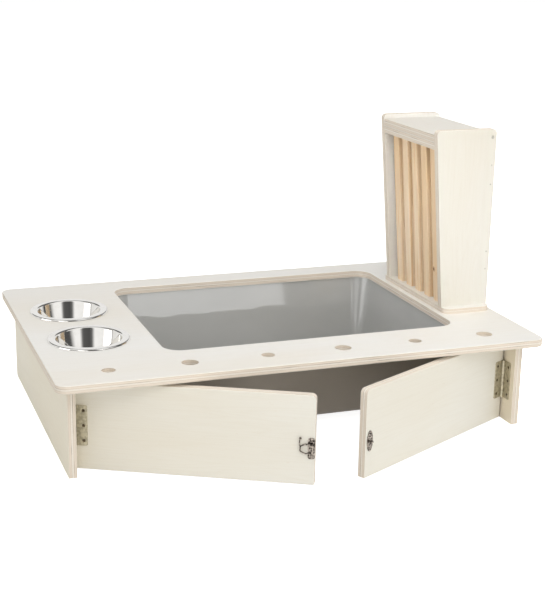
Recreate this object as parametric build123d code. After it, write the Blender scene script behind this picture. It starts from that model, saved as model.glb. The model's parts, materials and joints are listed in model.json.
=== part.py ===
from build123d import *
import math
import os

os.makedirs("parts", exist_ok=True)

# All sizes are millimetres. X runs along the table from the left, Y from its front edge to its
# back, Z up from the floor. Everything is built in that workshop frame with the doors shut, and
# placed in the part's frame at the end.

# Boards
board = 12.0
edge_round = 1.5

# Table plate
table_length = 748.0
table_depth = 510.0
table_height = 150.0
plate_corner = 16.0

# Cut-out over the digging tub
pit_from_left = 180.0
pit_from_right = 98.0
pit_from_front = 107.0
pit_from_back = 47.0
pit_corner = 27.0

# Row of twig holes, alternately small and large
twig_holes = 6
twig_row_from_front = 50.0
twig_first_from_left = 81.25
twig_last_from_right = 79.25
twig_small_radius = 10.0
twig_large_radius = 12.5

# Side and back panels
left_panel_inset = 20.0
right_panel_inset = 16.5
panel_front = 38.0
panel_from_back = 13.0
panel_corner = 7.0
panel_round = 1.0

# Battens that join plate and panels from inside
batten = 15.0
batten_front = 88.0
short_batten = 72.0
batten_lift = 3.0
panel_screw_share = 0.3
plate_screw_share = 0.7
corner_screw_shares = (0.25, 0.75)

# Steel bowls
bowl_x = 85.5
bowl_middle_y = 277.0
bowl_pitch = 153.0
bowl_rim_radius = 61.5
bowl_mouth_radius = 49.5
bowl_base_radius = 44.0
bowl_depth = 45.0
bowl_rim_height = 2.4
bowl_base_bend = 8.0
bowl_neck_bend = 2.0
bowl_curl_bend = 1.2
bowl_sheet = 0.8
bowl_hole_radius = 52.0

# Digging tub and the runners that carry its flange
tub_overlap = 2.0
tub_wall = 2.5
tub_flange = 10.0
tub_draft = 9.0
tub_floor_height = 15.5
tub_corner = 32.0
tub_base_round = 10.0
runner_body = 10.0
runner_ledge = 7.0
runner_height = 13.0
runner_back_gap = 3.0
runner_screw_shares = (0.1, 0.5, 0.9)

# Clearances
slide_gap = 0.3
screw_gap = 0.05
pin_gap = 0.05
lid_side_gap = 0.5
lid_swing_gap = 1.0

# Hay rack
rack_right_inset = 8.0
rack_middle_y = 280.5
rack_base_length = 239.0
rack_base_thickness = 9.0
rack_base_corner = 12.0
rack_side_span = 211.0
rack_foot_depth = 82.0
rack_top_depth = 105.5
rack_side_height = 286.7
rack_side_corner = 7.0
rail_depth = 20.0
lid_drop = 7.0
lid_pivot_from_back = 7.0
slats = 5
slat_width = 20.0
slat_thickness = 10.0
slat_inset = 9.0
slat_round = 2.0
back_nail_heights = (59.0, 88.0, 198.0, 229.0)
back_nail_radius = 1.3
back_nail_length = 32.0
rack_screw_shares = (0.25, 0.75)
mount_screw_depth_share = 0.6
mount_screw_shares = (-0.32, 0.0, 0.32)

# Doors
door_set_back = 32.0
door_hinge_gap = 1.0
door_middle_gap = 2.0
door_top_gap = 5.5
door_floor_gap = 1.0
door_corner = 7.0
door_round = 1.0
door_ajar = 27.5

# Butt hinges
hinge_length = 60.0
hinge_middle_height = 67.0
hinge_leaf = 1.5
hinge_barrel_radius = 2.75
hinge_pin_radius = 1.25
hinge_pin_head_radius = 2.2
hinge_pin_head = 0.8
hinge_reach = 18.0
hinge_knuckles = 5
hinge_leaf_corner = 2.0
hinge_screw_pitch = 22.5
hinge_screw_reach = 12.6

# Swing latch on the left door, catch on the right door
latch_height = 55.5
latch_plate_width = 10.0
latch_plate_length = 31.0
latch_plate_sheet = 1.2
latch_plate_corner = 3.5
latch_screw_pitch = 20.7
latch_barrel_radius = 2.2
latch_barrel_length = 10.8
latch_barrel_from_edge = 3.5
loop_wire_radius = 1.0
loop_half_height = 6.8
loop_reach = 17.0
loop_bend = 1.4
loop_shoulder_share = 0.62
tail_wire_radius = 0.8
tail_rise = 15.0
tail_bow_share = 1.06
tail_ball_radius = 2.0
catch_plate_width = 12.0
catch_plate_from_edge = 2.5
catch_knob_from_edge = 8.0
catch_neck_radius = 1.6
catch_head_radius = 2.4
catch_head_rise = 6.6
catch_head_flat_share = 0.6

# Countersunk wood screws: head radius, shank radius, length
hinge_screw = (2.6, 1.3, 10.0)
latch_screw = (2.1, 1.0, 9.0)
batten_screw = (3.4, 1.7, 23.0)
runner_screw = (3.0, 1.5, 20.0)
rack_screw = (3.4, 1.7, 28.0)
mount_screw = (3.4, 1.7, 18.0)
pivot_screw = (3.2, 1.9, 32.0)

# Values that follow from the sizes above
plate_under = table_height - board
left_inner = left_panel_inset + board
right_inner = table_length - right_panel_inset - board
inside_length = right_inner - left_inner
panel_back = table_depth - panel_from_back
back_inner = panel_back - board
middle_x = (left_inner + right_inner) / 2
pit_length = table_length - pit_from_left - pit_from_right
pit_width = table_depth - pit_from_front - pit_from_back
pit_middle = (pit_from_left + pit_length / 2, pit_from_front + pit_width / 2)
twig_pitch = (table_length - twig_first_from_left - twig_last_from_right) / (twig_holes - 1)

nodes = {}


def block(x, y, z):
    # A box between two limits on each axis.
    centre = Pos(sum(x) / 2, sum(y) / 2, sum(z) / 2)
    return centre * Box(x[1] - x[0], y[1] - y[0], z[1] - z[0])


def rounded_box(centre, length, width, z, corner):
    # An upright prism over a rectangle with round corners.
    outline = Pos(centre[0], centre[1], z[0]) * RectangleRounded(length, width, corner)
    return extrude(outline, z[1] - z[0])


def cylinder_up(x, y, z, radius):
    # An upright cylinder between two heights.
    return Pos(x, y, (z[0] + z[1]) / 2) * Cylinder(radius, z[1] - z[0])


def mirrored(shape):
    # The same piece on the other side of the middle between the side panels.
    return mirror(shape, about=Plane(origin=(middle_x, 0, 0), z_dir=(1, 0, 0)))


def facing(point, direction):
    # A place whose Z axis points along the given direction.
    return Plane(origin=point, z_dir=direction).location


# Fasteners


def screw(size):
    # A countersunk wood screw: flush head at z = 0, pointed end below.
    head, shank, length = size
    outline = Polyline(
        (0, 0), (head, 0), (shank, shank - head), (shank, 2 * shank - length), (0, -length), close=True
    )
    return revolve(Plane.XZ * make_face(outline), Axis.Z)


def screw_hole(size, gap=screw_gap):
    # What a screw needs cut away, a little larger all round and open above its head.
    head, shank, length = size
    rim = head + gap
    bore = shank + gap
    end = -length - gap
    outline = Polyline(
        (0, head), (rim, head), (rim, 0), (bore, bore - rim), (bore, end), (0, end), close=True
    )
    return revolve(Plane.XZ * make_face(outline), Axis.Z)


def fasten(node, size, places, through):
    # Puts one screw at each place, as one node of separate solids, and drills the pieces they pass.
    nodes[node] = [place * screw(size) for place in places]
    holes = [place * screw_hole(size) for place in places]
    for name in through:
        nodes[name] -= holes


# Table


def top_plate():
    middle = (table_length / 2, table_depth / 2)
    z = (plate_under, table_height)
    plate = rounded_box(middle, table_length, table_depth, z, plate_corner)
    faces = plate.faces().sort_by(Axis.Z)
    plate = fillet(faces[0].edges() + faces[-1].edges(), edge_round)
    cutter_z = (plate_under - board, table_height + board)
    plate -= rounded_box(pit_middle, pit_length, pit_width, cutter_z, pit_corner)
    top = plate.faces().sort_by(Axis.Z)[-1]
    plate = fillet(top.inner_wires()[0].edges(), edge_round)
    for y in bowl_places():
        plate -= cylinder_up(bowl_x, y, cutter_z, bowl_hole_radius)
    for x, radius in twig_places():
        plate -= cylinder_up(x, twig_row_from_front, cutter_z, radius)
    return plate


def bowl_places():
    return [bowl_middle_y - bowl_pitch / 2, bowl_middle_y + bowl_pitch / 2]


def twig_places():
    radii = (twig_small_radius, twig_large_radius)
    return [(twig_first_from_left + twig_pitch * i, radii[i % 2]) for i in range(twig_holes)]


def left_side_panel():
    panel = block((left_panel_inset, left_inner), (panel_front, panel_back), (0, plate_under))
    long_edges = panel.edges().filter_by(Axis.X).group_by(Axis.Y)
    panel = fillet(long_edges[-1].sort_by(Axis.Z)[0], panel_corner)
    front = panel.faces().sort_by(Axis.Y)[0]
    return fillet(front.edges().filter_by(Axis.Z), panel_round)


def back_panel():
    return block((left_inner, right_inner), (back_inner, panel_back), (0, plate_under))


def top_batten(y):
    # A strip along the left panel, tight under the plate.
    return block((left_inner, left_inner + batten), y, (plate_under - batten, plate_under))


def corner_batten():
    corner = (back_inner - batten, back_inner)
    return block((left_inner, left_inner + batten), corner, (batten_lift, plate_under))


def batten_places():
    # The left strips leave room for the bowls; the right strip is whole.
    bowls = bowl_places()
    between = (bowls[0] + bowls[1] - short_batten) / 2
    behind = bowls[1] + (bowls[0] - batten_front - short_batten)
    rear_end = back_inner - batten
    return {
        "left_front_batten": (batten_front, batten_front + short_batten),
        "left_middle_batten": (between, between + short_batten),
        "left_rear_batten": (behind, rear_end),
        "right_top_batten": (batten_front, rear_end),
    }


def side_screw_places(y, count):
    # Screws from a strip's inner face into the left panel, and up into the plate.
    spacing = (y[1] - y[0]) / count
    inner_x = left_inner + batten
    middle = batten / 2
    places = []
    for number in range(count):
        into_panel = y[0] + spacing * (number + panel_screw_share)
        into_plate = y[0] + spacing * (number + plate_screw_share)
        places.append(facing((inner_x, into_panel, plate_under - middle), (1, 0, 0)))
        places.append(facing((left_inner + middle, into_plate, plate_under - batten), (0, 0, -1)))
    return places


def corner_screw_places():
    # Screws from a corner strip into the side panel and into the back panel.
    places = []
    reach = batten / 2
    for share in corner_screw_shares:
        height = plate_under * share
        places.append(facing((left_inner + batten, back_inner - reach, height), (1, 0, 0)))
        places.append(facing((left_inner + reach, back_inner - batten, height + batten), (0, -1, 0)))
    return places


def mirror_place(place):
    # The place of a mirrored screw, which is round about its own axis.
    plane = Plane(place)
    origin = plane.origin
    direction = plane.z_dir
    point = (2 * middle_x - origin.X, origin.Y, origin.Z)
    return facing(point, (-direction.X, direction.Y, direction.Z))


def build_table():
    nodes["top_plate"] = top_plate()
    nodes["left_side_panel"] = left_side_panel()
    nodes["right_side_panel"] = mirrored(left_side_panel())
    nodes["back_panel"] = back_panel()
    strips = batten_places()
    for name, y in strips.items():
        strip = top_batten(y)
        nodes[name] = mirrored(strip) if name.startswith("right") else strip
    nodes["left_corner_batten"] = corner_batten()
    nodes["right_corner_batten"] = mirrored(corner_batten())
    screw_places = corner_screw_places()
    for name, y in strips.items():
        if name.startswith("left"):
            screw_places += side_screw_places(y, 1)
    right_places = [mirror_place(place) for place in corner_screw_places()]
    right_places += [mirror_place(place) for place in side_screw_places(strips["right_top_batten"], 3)]
    drilled = ["top_plate", "left_side_panel", "right_side_panel", "back_panel"]
    drilled += list(strips) + ["left_corner_batten", "right_corner_batten"]
    fasten("batten_screws", batten_screw, screw_places + right_places, drilled)


# Digging tub and runners


def tub_outline(extra, z):
    # The tub's plan, larger than its mouth by extra all round, looking down.
    length = pit_length + 2 * (tub_overlap + extra)
    width = pit_width + 2 * (tub_overlap + extra)
    plane = Plane(origin=(*pit_middle, z), z_dir=(0, 0, -1))
    return plane * RectangleRounded(length, width, tub_corner + extra)


def tub_top():
    return plate_under - slide_gap


def digging_tub():
    top = tub_top()
    depth = top - tub_floor_height
    outer = extrude(tub_outline(tub_wall, top), depth, taper=tub_draft)
    outer = fillet(outer.faces().sort_by(Axis.Z)[0].edges(), tub_base_round + tub_wall)
    inner = extrude(tub_outline(0, top), depth - tub_wall, taper=tub_draft)
    inner = fillet(inner.faces().sort_by(Axis.Z)[0].edges(), tub_base_round)
    flange = extrude(tub_outline(tub_wall + tub_flange, top), tub_wall)
    return outer + flange - inner


def left_tub_runner():
    # A strip with a rebate that the tub's flange slides in.
    flange_edge = pit_from_left - tub_overlap - tub_wall - tub_flange
    rebate = flange_edge - slide_gap
    y = (batten_front, back_inner - runner_back_gap)
    z = (plate_under - runner_height, plate_under)
    strip = block((rebate - runner_body, rebate + runner_ledge), y, z)
    ledge_top = tub_top() - tub_wall - slide_gap
    return strip - block((rebate, rebate + 2 * runner_ledge), y, (ledge_top, table_height))


def runner_screw_places():
    flange_edge = pit_from_left - tub_overlap - tub_wall - tub_flange
    x = flange_edge - slide_gap - runner_body / 2
    low = batten_front
    high = back_inner - runner_back_gap
    rows = [low + (high - low) * share for share in runner_screw_shares]
    return [facing((x, y, plate_under - runner_height), (0, 0, -1)) for y in rows]


def build_tub():
    nodes["digging_tub"] = digging_tub()
    runner = left_tub_runner()
    shift = Pos(2 * (pit_middle[0] - middle_x), 0, 0)
    nodes["left_tub_runner"] = runner
    nodes["right_tub_runner"] = shift * mirrored(runner)
    left = runner_screw_places()
    right = [shift * mirror_place(place) for place in left]
    drilled = ["left_tub_runner", "right_tub_runner", "top_plate"]
    fasten("runner_screws", runner_screw, left + right, drilled)


# Bowls


def bowl():
    # One spun sheet: flat base, steep wall, flat rim, edge curled down to rest on the plate.
    half = bowl_sheet / 2
    path = FilletPolyline(
        (0, -bowl_depth + half),
        (bowl_base_radius, -bowl_depth + half),
        (bowl_mouth_radius + half, bowl_rim_height - half),
        (bowl_rim_radius - half, bowl_rim_height - half),
        (bowl_rim_radius - half, slide_gap),
        radius=[bowl_base_bend, bowl_neck_bend, bowl_curl_bend],
    )
    return revolve(Plane.XZ * trace(path, bowl_sheet), Axis.Z)


def build_bowls():
    for name, y in zip(("front_bowl", "rear_bowl"), bowl_places()):
        nodes[name] = Pos(bowl_x, y, table_height) * bowl()


# Hay rack

rack_right = table_length - rack_right_inset
rack_floor = table_height + rack_base_thickness
rack_top = rack_floor + rack_side_height
rack_front = rack_middle_y - rack_side_span / 2
rack_back = rack_middle_y + rack_side_span / 2
rack_inner = (rack_front + board, rack_back - board)
lid_top = rack_top - lid_drop
lid_under = lid_top - board
rail_top = lid_under - slide_gap
rail_under = rail_top - board
pivot_x = rack_right - lid_pivot_from_back
pivot_z = lid_top - board / 2
pivot_swing = math.hypot(lid_pivot_from_back, board / 2)


def lean_x(z, inset=0.0):
    # X of the rack's leaning front at a height, or of a line set back from it.
    share = (z - rack_floor) / rack_side_height
    return rack_right - rack_foot_depth - share * (rack_top_depth - rack_foot_depth) + inset


def leaning_bar(z, inset, depth, y):
    # A bar between two heights whose front follows the lean.
    outline = Polyline(
        (lean_x(z[0], inset), z[0]),
        (lean_x(z[0], inset + depth), z[0]),
        (lean_x(z[1], inset + depth), z[1]),
        (lean_x(z[1], inset), z[1]),
        close=True,
    )
    return Pos(0, y[0], 0) * extrude(Plane.XZ * make_face(outline), y[0] - y[1])


def rack_base():
    centre = (rack_right - rack_foot_depth / 2, rack_middle_y)
    z = (table_height, rack_floor)
    base = rounded_box(centre, rack_foot_depth, rack_base_length, z, rack_base_corner)
    return fillet(base.faces().sort_by(Axis.Z)[-1].edges(), panel_round)


def rack_side(y):
    # An upright board with a leaning front edge and round top corners.
    outline = Polyline(
        (lean_x(rack_floor), rack_floor),
        (rack_right, rack_floor),
        (rack_right, rack_top),
        (lean_x(rack_top), rack_top),
        close=True,
    )
    face = make_face(outline)
    face = fillet(face.vertices().group_by(Axis.Y)[-1], rack_side_corner)
    return Pos(0, y, 0) * extrude(Plane.XZ * face, -board)


def eased_side(y, outward):
    side = rack_side(y)
    face = side.faces().sort_by(Axis.Y)[0 if outward < 0 else -1]
    upright = [edge for edge in face.edges() if edge.center().Z > rack_floor + panel_round]
    return fillet(upright, panel_round)


def rack_slat(number):
    inside = rack_inner[1] - rack_inner[0]
    space = (inside - slats * slat_width) / (slats + 1)
    low = rack_inner[0] + space + number * (slat_width + space)
    bar = leaning_bar((rack_floor, rail_under), slat_inset, slat_thickness, (low, low + slat_width))
    long_edges = bar.edges().sort_by(SortBy.LENGTH)[-4:]
    return fillet(long_edges, slat_round)


def rack_lid():
    y = (rack_inner[0] + lid_side_gap, rack_inner[1] - lid_side_gap)
    outline = Polyline(
        (lean_x(lid_under), lid_under),
        (rack_right, lid_under),
        (rack_right, lid_top),
        (lean_x(lid_top), lid_top),
        close=True,
    )
    lid = Pos(0, y[0], 0) * extrude(Plane.XZ * make_face(outline), y[0] - y[1])
    top = lid.faces().sort_by(Axis.Z)[-1]
    return fillet(top.edges().filter_by(Axis.Y), edge_round)


def nail_places():
    x = rack_right - board / 2
    return [(x, rack_floor + height) for height in back_nail_heights]


def back_nails(gap=0.0):
    # Headless nails through both sides into the edges of the back.
    pins = []
    for x, z in nail_places():
        for y, turn in ((rack_front, 1), (rack_back, -1)):
            place = Pos(x, y + turn * back_nail_length / 2, z) * Rot(90, 0, 0)
            pins.append(place * Cylinder(back_nail_radius + gap, back_nail_length))
    return pins


def rack_screw_places():
    # Up through the base into the feet of both sides.
    depth = rack_foot_depth
    rows = [rack_right - depth * share for share in rack_screw_shares]
    feet = (rack_front + board / 2, rack_back - board / 2)
    return [facing((x, y, table_height), (0, 0, -1)) for x in rows for y in feet]


def mount_screw_places():
    # Up through the table plate into the base.
    x = rack_right - rack_foot_depth * mount_screw_depth_share
    rows = [rack_middle_y + rack_base_length * share for share in mount_screw_shares]
    return [facing((x, y, plate_under), (0, 0, -1)) for y in rows]


def build_rack():
    nodes["rack_base_board"] = rack_base()
    nodes["rack_front_side"] = eased_side(rack_front, -1)
    nodes["rack_rear_side"] = eased_side(rack_back - board, 1)
    back_x = (rack_right - board, rack_right)
    back_z = (rack_floor, pivot_z - pivot_swing - lid_swing_gap)
    nodes["rack_back_panel"] = block(back_x, rack_inner, back_z)
    nodes["rack_top_rail"] = leaning_bar((rail_under, rail_top), 0, rail_depth, rack_inner)
    for number in range(slats):
        nodes[f"rack_slat_{number + 1}"] = rack_slat(number)
    nodes["rack_back_nails"] = back_nails()
    for name in ("rack_front_side", "rack_rear_side", "rack_back_panel"):
        nodes[name] -= back_nails(screw_gap)
    sides = ["rack_front_side", "rack_rear_side"]
    fasten("rack_side_screws", rack_screw, rack_screw_places(), ["rack_base_board"] + sides)
    fasten("rack_mount_screws", mount_screw, mount_screw_places(), ["top_plate", "rack_base_board"])
    nodes["rack_lid"] = rack_lid()
    pivots = [
        facing((pivot_x, rack_front, pivot_z), (0, -1, 0)),
        facing((pivot_x, rack_back, pivot_z), (0, 1, 0)),
    ]
    fasten("lid_pivot_screws", pivot_screw, pivots, ["rack_lid"] + sides)


# Doors and their hinges

door_front = panel_front + door_set_back
door_width = (inside_length - 2 * door_hinge_gap - door_middle_gap) / 2
door_edge = left_inner + door_hinge_gap + door_width
door_z = (door_floor_gap, plate_under - door_top_gap)
axis_offset = hinge_barrel_radius + slide_gap
axis_x = left_inner + axis_offset
axis_y = door_front - axis_offset
hinge_z = (hinge_middle_height - hinge_length / 2, hinge_middle_height + hinge_length / 2)


def left_door():
    door = block((left_inner + door_hinge_gap, door_edge), (door_front, door_front + board), door_z)
    free_edge = door.edges().filter_by(Axis.Y).group_by(Axis.X)[-1]
    door = fillet(free_edge.sort_by(Axis.Z)[-1], door_corner)
    front = door.faces().sort_by(Axis.Y)[0]
    past_hinge = [edge for edge in front.edges() if edge.center().X > axis_x]
    return fillet(past_hinge, door_round)


def knuckle_z(number):
    # Height span of one knuckle, with a running gap at each end that meets another.
    pitch = hinge_length / hinge_knuckles
    low = hinge_z[0] + number * pitch
    return (low + slide_gap / 2, low + pitch - slide_gap / 2)


def leaf(z, along):
    # One hinge leaf as a plate with rounded outer corners; along is the axis it reaches away on.
    if along == "y":
        plate = block((left_inner, left_inner + hinge_leaf), (axis_y - hinge_reach, axis_y), z)
        corners = plate.edges().filter_by(Axis.X).group_by(Axis.Y)[0]
    else:
        plate = block((axis_x, axis_x + hinge_reach), (door_front - hinge_leaf, door_front), z)
        corners = plate.edges().filter_by(Axis.Y).group_by(Axis.X)[-1]
    return fillet(corners, hinge_leaf_corner)


def hinge_half(own, along):
    # A leaf with its own knuckles rolled on and the other half's knuckles cut clear.
    half = leaf(hinge_z, along)
    for number in range(hinge_knuckles):
        low, high = knuckle_z(number)
        if number % 2 == own:
            half += cylinder_up(axis_x, axis_y, (low, high), hinge_barrel_radius)
        else:
            room = (low - slide_gap, high + slide_gap)
            half -= cylinder_up(axis_x, axis_y, room, axis_offset)
    bore = (hinge_z[0] - hinge_leaf, hinge_z[1] + hinge_leaf)
    return half - cylinder_up(axis_x, axis_y, bore, hinge_pin_radius + pin_gap)


def hinge_pin():
    upper = (hinge_z[1], hinge_z[1] + hinge_pin_head)
    lower = (hinge_z[0] - hinge_pin_head, hinge_z[0])
    pin = cylinder_up(axis_x, axis_y, hinge_z, hinge_pin_radius)
    pin += cylinder_up(axis_x, axis_y, upper, hinge_pin_head_radius)
    return pin + cylinder_up(axis_x, axis_y, lower, hinge_pin_head_radius)


def hinge_screw_heights():
    return [hinge_middle_height + hinge_screw_pitch * i for i in (-1, 0, 1)]


def frame_leaf_places():
    x = left_inner + hinge_leaf
    y = axis_y - hinge_screw_reach
    return [facing((x, y, z), (1, 0, 0)) for z in hinge_screw_heights()]


def door_leaf_places():
    x = axis_x + hinge_screw_reach
    y = door_front - hinge_leaf
    return [facing((x, y, z), (0, -1, 0)) for z in hinge_screw_heights()]


def hinged_door():
    # One door with its butt hinge, as the left-hand pieces by name.
    return {
        "hinge_frame_leaf": hinge_half(0, "y"),
        "hinge_pin": hinge_pin(),
        "door": left_door(),
        "hinge_door_leaf": hinge_half(1, "x"),
    }


def build_doors():
    left_pieces = hinged_door()
    for side in ("left", "right"):
        frame_places = frame_leaf_places()
        door_places = door_leaf_places()
        pieces = left_pieces
        if side == "right":
            frame_places = [mirror_place(place) for place in frame_places]
            door_places = [mirror_place(place) for place in door_places]
            pieces = {name: mirrored(shape) for name, shape in left_pieces.items()}
        for name, shape in pieces.items():
            nodes[f"{side}_{name}"] = shape
        on_frame = [f"{side}_hinge_frame_leaf", f"{side}_side_panel"]
        fasten(f"{side}_hinge_frame_screws", hinge_screw, frame_places, on_frame)
        on_door = [f"{side}_hinge_door_leaf", f"{side}_door"]
        fasten(f"{side}_hinge_door_screws", hinge_screw, door_places, on_door)


# Latch and catch

latch_axis_x = door_edge - latch_barrel_from_edge
latch_axis_y = door_front - latch_plate_sheet - loop_wire_radius * 2
latch_screw_heights = (latch_height - latch_screw_pitch / 2, latch_height + latch_screw_pitch / 2)


def on_face(x, y=door_front):
    # An upright plane on the shut doors' front, looking out, at the latch's height.
    return Plane(origin=(x, y, latch_height), x_dir=(1, 0, 0), z_dir=(0, -1, 0))


def latch_plate():
    # A flat plate at the door's free edge with an upright barrel rolled on its face.
    outline = RectangleRounded(latch_plate_width, latch_plate_length, latch_plate_corner)
    plate = extrude(on_face(door_edge - latch_plate_width / 2) * outline, latch_plate_sheet)
    barrel_z = (latch_height - latch_barrel_length / 2, latch_height + latch_barrel_length / 2)
    plate += cylinder_up(latch_axis_x, latch_axis_y, barrel_z, latch_barrel_radius)
    return plate - cylinder_up(latch_axis_x, latch_axis_y, barrel_z, loop_wire_radius + pin_gap)


def latch_loop():
    # A wire loop with both ends in the barrel, and a tail with a ball that a finger pulls.
    high = loop_half_height
    end = loop_wire_radius
    shoulder = -loop_shoulder_share * loop_reach
    points = [
        (0, -end), (0, -high), (shoulder, -high), (-loop_reach, -high / 2),
        (-loop_reach, high / 2), (shoulder, high), (0, high), (0, end),
    ]
    plane = on_face(latch_axis_x, latch_axis_y)
    path = plane * FilletPolyline(*points, radius=loop_bend)
    section = Plane(origin=path @ 0, z_dir=path % 0) * Circle(loop_wire_radius)
    loop = sweep(section, path=path)
    ball = (-loop_reach, tail_rise)
    bow = (-tail_bow_share * loop_reach, (high / 2 + tail_rise) / 2)
    tail_path = plane * Spline((-loop_reach, high / 2), bow, ball)
    tail_section = Plane(origin=tail_path @ 0, z_dir=tail_path % 0) * Circle(tail_wire_radius)
    loop += sweep(tail_section, path=tail_path)
    return loop + plane * Pos(ball[0], ball[1], 0) * Sphere(tail_ball_radius)


def catch_x(from_edge):
    # X on the shut right door, measured from its free edge.
    return door_edge + door_middle_gap + from_edge


def catch_plate():
    # A leaf-shaped plate with a waisted knob that the loop drops over.
    plane = on_face(catch_x(catch_plate_from_edge + catch_plate_width / 2))
    outline = Ellipse(catch_plate_width / 2, latch_plate_length / 2)
    plate = extrude(plane * outline, latch_plate_sheet)
    flat = catch_head_flat_share * catch_head_radius
    profile = Polyline(
        (0, 0),
        (catch_neck_radius, 0),
        (catch_neck_radius, catch_head_rise - catch_head_radius),
        (catch_head_radius, catch_head_rise - flat),
        (flat, catch_head_rise),
        (0, catch_head_rise),
        close=True,
    )
    knob = revolve(Plane.XZ * make_face(profile), Axis.Z)
    return plate + on_face(catch_x(catch_knob_from_edge)) * knob


def build_latch():
    nodes["latch_plate"] = latch_plate()
    nodes["latch_loop"] = latch_loop()
    nodes["catch_plate"] = catch_plate()
    face_y = door_front - latch_plate_sheet
    latch_x = door_edge - latch_plate_width / 2
    latch_places = [facing((latch_x, face_y, z), (0, -1, 0)) for z in latch_screw_heights]
    fasten("latch_screws", latch_screw, latch_places, ["latch_plate", "left_door"])
    plate_x = catch_x(catch_plate_from_edge + catch_plate_width / 2)
    catch_places = [facing((plate_x, face_y, z), (0, -1, 0)) for z in latch_screw_heights]
    fasten("catch_screws", latch_screw, catch_places, ["catch_plate", "right_door"])


# Placing and writing

left_door_nodes = [
    "left_door", "left_hinge_door_leaf", "left_hinge_door_screws",
    "latch_plate", "latch_screws", "latch_loop",
]
right_door_nodes = [
    "right_door", "right_hinge_door_leaf", "right_hinge_door_screws",
    "catch_plate", "catch_screws",
]


def swing(x, angle):
    # A turn about one door's hinge axis.
    return Pos(x, axis_y, 0) * Rot(0, 0, angle) * Pos(-x, -axis_y, 0)


def move(name, place):
    nodes[name] = [place * solid for solid in nodes[name]]


def open_doors():
    # The doors stand ajar at rest.
    for name in left_door_nodes:
        move(name, swing(axis_x, -door_ajar))
    for name in right_door_nodes:
        move(name, swing(2 * middle_x - axis_x, door_ajar))


def part_frame():
    # The part's origin is on the floor, midway in length and depth of everything at rest.
    boxes = [solid.bounding_box() for pieces in nodes.values() for solid in pieces]
    low_x, high_x = min(box.min.X for box in boxes), max(box.max.X for box in boxes)
    low_y, high_y = min(box.min.Y for box in boxes), max(box.max.Y for box in boxes)
    return Pos(-(low_x + high_x) / 2, -(low_y + high_y) / 2, 0)


build_table()
build_tub()
build_bowls()
build_rack()
build_doors()
build_latch()
for name, piece in nodes.items():
    nodes[name] = piece if isinstance(piece, list) else piece.solids()
open_doors()
to_part = part_frame()
for name in nodes:
    move(name, to_part)
    export_step(Compound(nodes[name]), f"parts/{name}.step")
print("nodes", len(nodes), "frame shift", to_part.position)
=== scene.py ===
import json
import math

import bpy
import numpy as np
from mathutils import Matrix, Vector


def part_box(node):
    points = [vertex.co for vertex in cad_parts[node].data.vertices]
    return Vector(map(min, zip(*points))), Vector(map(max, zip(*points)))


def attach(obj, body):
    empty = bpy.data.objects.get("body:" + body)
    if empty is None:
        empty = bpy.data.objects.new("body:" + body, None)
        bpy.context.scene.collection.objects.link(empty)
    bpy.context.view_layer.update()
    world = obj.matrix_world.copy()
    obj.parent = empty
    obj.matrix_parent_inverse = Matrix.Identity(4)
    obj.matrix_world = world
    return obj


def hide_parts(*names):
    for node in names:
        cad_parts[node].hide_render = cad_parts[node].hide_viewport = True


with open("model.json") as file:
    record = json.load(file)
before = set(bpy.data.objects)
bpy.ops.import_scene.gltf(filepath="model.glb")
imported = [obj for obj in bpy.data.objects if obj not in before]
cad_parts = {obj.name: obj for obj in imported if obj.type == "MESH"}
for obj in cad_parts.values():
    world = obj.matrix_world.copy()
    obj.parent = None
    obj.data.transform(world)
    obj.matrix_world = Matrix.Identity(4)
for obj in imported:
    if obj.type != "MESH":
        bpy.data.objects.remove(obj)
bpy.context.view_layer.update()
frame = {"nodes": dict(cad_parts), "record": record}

nodes = frame["nodes"]
record = frame["record"]
bodyOf = {node: body for body, members in record["behaviour"]["bodies"].items() for node in members}
slotOf = {part["node"]: part["material_slot"] for part in record["subparts"]}
mm = 0.001


def linear(hexColour):
    # an sRGB hex value as the linear colour that sockets want
    parts = [int(hexColour[i:i + 2], 16) / 255 for i in (1, 3, 5)]
    return tuple(c / 12.92 if c <= 0.04045 else ((c + 0.055) / 1.055) ** 2.4 for c in parts) + (1.0,)


def grey(level):
    return (level,) * 3 + (1.0,)


def addNode(tree, kind, feeds=None, stops=None, **settings):
    # feeds maps a socket to a value, a hex colour, an output, or a node whose first live output is meant;
    # stops are a ramp's places, each with a hex colour or a grey from 0 to 1
    node = tree.nodes.new(kind)
    for key, value in settings.items():
        setattr(node, key, value)
    for socket, value in (feeds or {}).items():
        if isinstance(value, bpy.types.Node):
            value = next(output for output in value.outputs if output.enabled)
        if isinstance(value, bpy.types.NodeSocket):
            tree.links.new(value, node.inputs[socket])
        elif isinstance(value, str) and value.startswith("#"):
            node.inputs[socket].default_value = linear(value)
        else:
            node.inputs[socket].default_value = value
    if stops:
        points = node.color_ramp.elements
        while len(points) < len(stops):
            points.new(0.5)
        for point, (place, colour) in zip(points, stops):
            point.position = place
            point.color = linear(colour) if isinstance(colour, str) else grey(colour)
    return node


def newMaterial(name):
    material = bpy.data.materials.new(name)
    material.use_nodes = True
    material.node_tree.nodes.clear()
    return material, material.node_tree


def finishMaterial(tree, feeds):
    shader = addNode(tree, "ShaderNodeBsdfPrincipled", feeds)
    addNode(tree, "ShaderNodeOutputMaterial", {"Surface": shader})


def setMaterial(obj, material):
    obj.data.materials.clear()
    obj.data.materials.append(material)


# How a board or a bar lies: its middle, the way its grain runs, and the way through its thickness

def meshArrays(obj):
    mesh = obj.data
    points = np.zeros(len(mesh.vertices) * 3)
    mesh.vertices.foreach_get("co", points)
    mesh.calc_loop_triangles()
    corners = np.zeros(len(mesh.loop_triangles) * 3, np.int32)
    mesh.loop_triangles.foreach_get("vertices", corners)
    return points.reshape(-1, 3), corners.reshape(-1, 3)


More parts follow.
